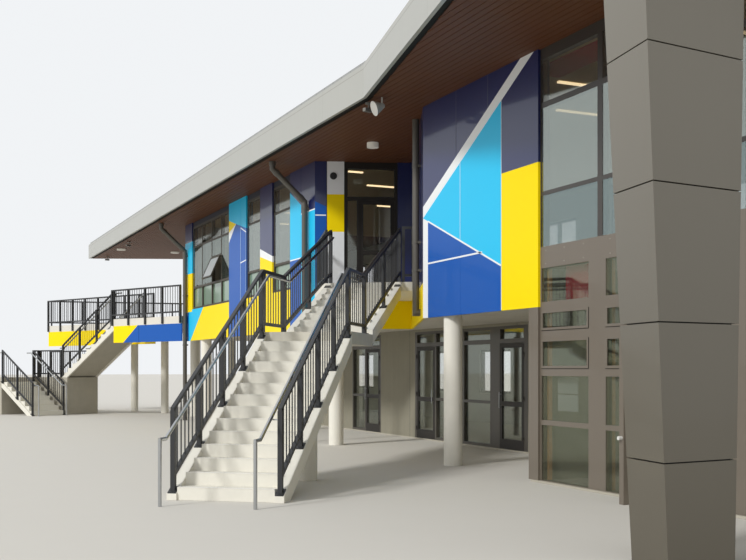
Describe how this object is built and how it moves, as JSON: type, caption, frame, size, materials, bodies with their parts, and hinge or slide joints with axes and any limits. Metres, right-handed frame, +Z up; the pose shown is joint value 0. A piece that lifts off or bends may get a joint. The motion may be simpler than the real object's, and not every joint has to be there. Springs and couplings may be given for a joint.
{
  "type": "school building",
  "caption": "Two-storey school block: overhanging coloured first floor, wide flat eave on a tapered pylon, cut-back entry porch, concrete stair and a raised deck with its own stair.",
  "frame": {"origin": "on the underside of the ground slab, near its middle, at ground level", "axes": "+X to the right along the facade, +Y into the building, +Z up"},
  "size_m": [39.5998, 14.8523, 7.2],
  "materials": {
    "backing_board": "matt backing",
    "charcoal": "charcoal powder coat",
    "clear_glass": "clear glass",
    "cobalt": "satin cladding",
    "column_paint": "cream paint",
    "concrete": "fair-faced concrete",
    "cyan": "satin cladding",
    "deck_edge": "pale concrete edge",
    "fascia_metal": "satin fascia sheet",
    "glazed_frame": "grey-brown coated frames",
    "joinery": "grey-brown coated frames",
    "lining": "matt lining board",
    "navy": "satin cladding",
    "pale_concrete": "pale precast concrete",
    "pipe_metal": "grey painted pipe",
    "pylon_frame": "dark steel frame",
    "pylon_metal": "warm grey sheet",
    "rear_render": "matt coated wall panels",
    "roof_metal": "matt roof sheet",
    "shaded_concrete": "board-marked concrete",
    "soffit_slats": "dark red-brown slats",
    "spandrel": "opaque back-coated glass",
    "stainless": "brushed stainless tube",
    "white": "satin cladding",
    "yellow": "satin cladding"
  },
  "bodies": {
    "building": {"ground_slab": "concrete", "ground_front_wall": "shaded_concrete", "outer_walls": "rear_render", "front_walls": "backing_board", "first_floor_slab": "concrete", "undercroft_soffit": "lining", "roof_build_up": "roof_metal", "roof_fascia": "fascia_metal", "eave_soffit": "soffit_slats", "navy_panels": "navy", "cobalt_panels": "cobalt", "cyan_panels": "cyan", "yellow_panels": "yellow", "white_panels": "white", "window_frames": "joinery", "spandrel_glass": "spandrel", "upper_glass": "clear_glass", "glazed_wall_frame": "glazed_frame", "ground_glass": "clear_glass", "ground_screens": "joinery", "porch_screen": "joinery", "round_columns": "column_paint", "deck_slab": "deck_edge", "deck_balustrade": "charcoal", "deck_stair_slabs": "concrete", "deck_stair_stringers": "pale_concrete", "deck_stair_treads": "pale_concrete", "deck_stair_balustrade": "charcoal", "stair_slabs": "pale_concrete", "stair_stringers": "pale_concrete", "stair_treads": "pale_concrete", "entry_landing": "pale_concrete", "stair_balustrade_left": "charcoal", "stair_balustrade_right": "charcoal", "handrails": "stainless", "pylon_core": "pylon_frame", "pylon_panels": "pylon_metal", "downpipes": "pipe_metal"},
    "door_left": {"door_left_leaf": "joinery", "door_left_glass": "clear_glass"},
    "door_middle": {"door_middle_leaf": "joinery", "door_middle_glass": "clear_glass"},
    "door_right": {"door_right_leaf": "joinery", "door_right_glass": "clear_glass"}
  },
  "joints": [
    {"name": "door_left_hinge", "type": "hinge", "parent": "building", "child": "door_left", "pos_m": [1.259, -2.312, 0.12], "axis": [0, 0, 1], "range_deg": [0, 90]},
    {"name": "door_middle_hinge", "type": "hinge", "parent": "building", "child": "door_middle", "pos_m": [3.371, -2.312, 0.12], "axis": [0, 0, -1], "range_deg": [0, 90]},
    {"name": "door_right_hinge", "type": "hinge", "parent": "building", "child": "door_right", "pos_m": [8.054, -2.312, 0.12], "axis": [0, 0, 1], "range_deg": [0, 90]}
  ]
}
